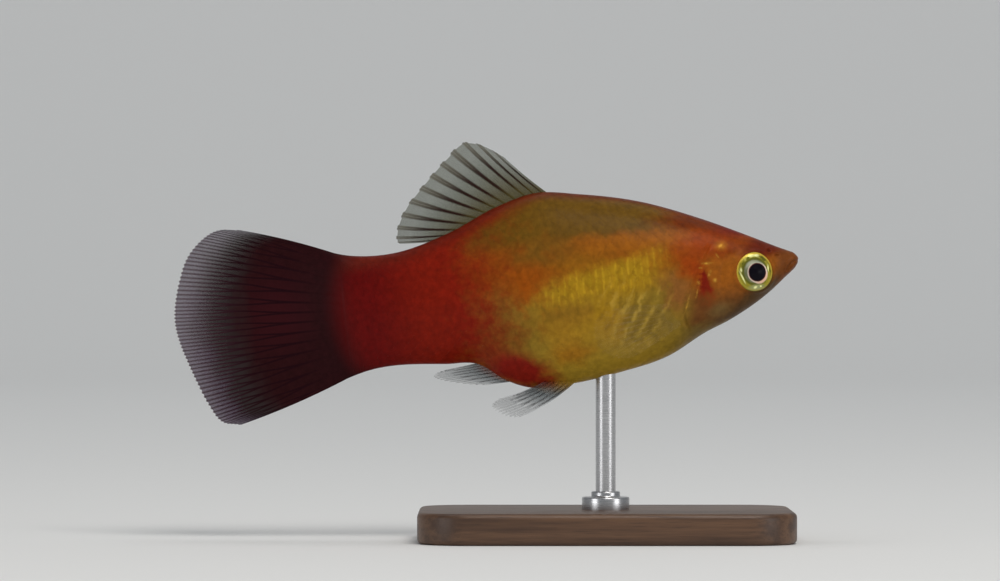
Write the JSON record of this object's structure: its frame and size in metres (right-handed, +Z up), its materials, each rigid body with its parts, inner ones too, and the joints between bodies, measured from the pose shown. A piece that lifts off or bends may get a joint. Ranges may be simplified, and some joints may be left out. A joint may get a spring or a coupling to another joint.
{
  "type": "platy fish display model",
  "caption": "Life-size still model of a red and gold platy, a small aquarium fish, with spread dorsal and tail fins, held by a rod on a flat display base.",
  "frame": {"origin": "centre of the model's box in X and Y, on the underside of the stand's base", "axes": "+X is where the fish faces, +Y is its left, +Z is up"},
  "size_m": [0.0502, 0.02, 0.0318],
  "materials": {
    "head_skin": "wet orange-brown skin with a pink-brown snout",
    "body_skin": "small glossy scales, gold on the belly, olive on the back, red behind",
    "tail_skin": "small glossy deep red scales",
    "clear_fin": "thin clear membrane with dark rays",
    "dark_fin": "black-red membrane that turns violet-grey and clear at its edge",
    "eye": "silver and yellow iris round a black pupil, polished",
    "stand_base": "dark walnut, oiled to a satin finish",
    "stand_rod": "fine brushed"
  },
  "bodies": {
    "root": {"head": "head_skin", "jaw_lower": "head_skin", "gill_cover_right": "head_skin", "gill_cover_left": "head_skin", "trunk": "body_skin", "tail_stalk": "tail_skin", "eye_right": "eye", "eye_left": "eye", "dorsal_fin": "clear_fin", "anal_fin": "clear_fin", "pelvic_fin_right": "clear_fin", "pelvic_fin_left": "clear_fin", "pectoral_fin_right": "clear_fin", "pectoral_fin_left": "clear_fin", "caudal_fin": "dark_fin", "stand_base": "stand_base", "stand_rod": "stand_rod"}
  },
  "joints": []
}
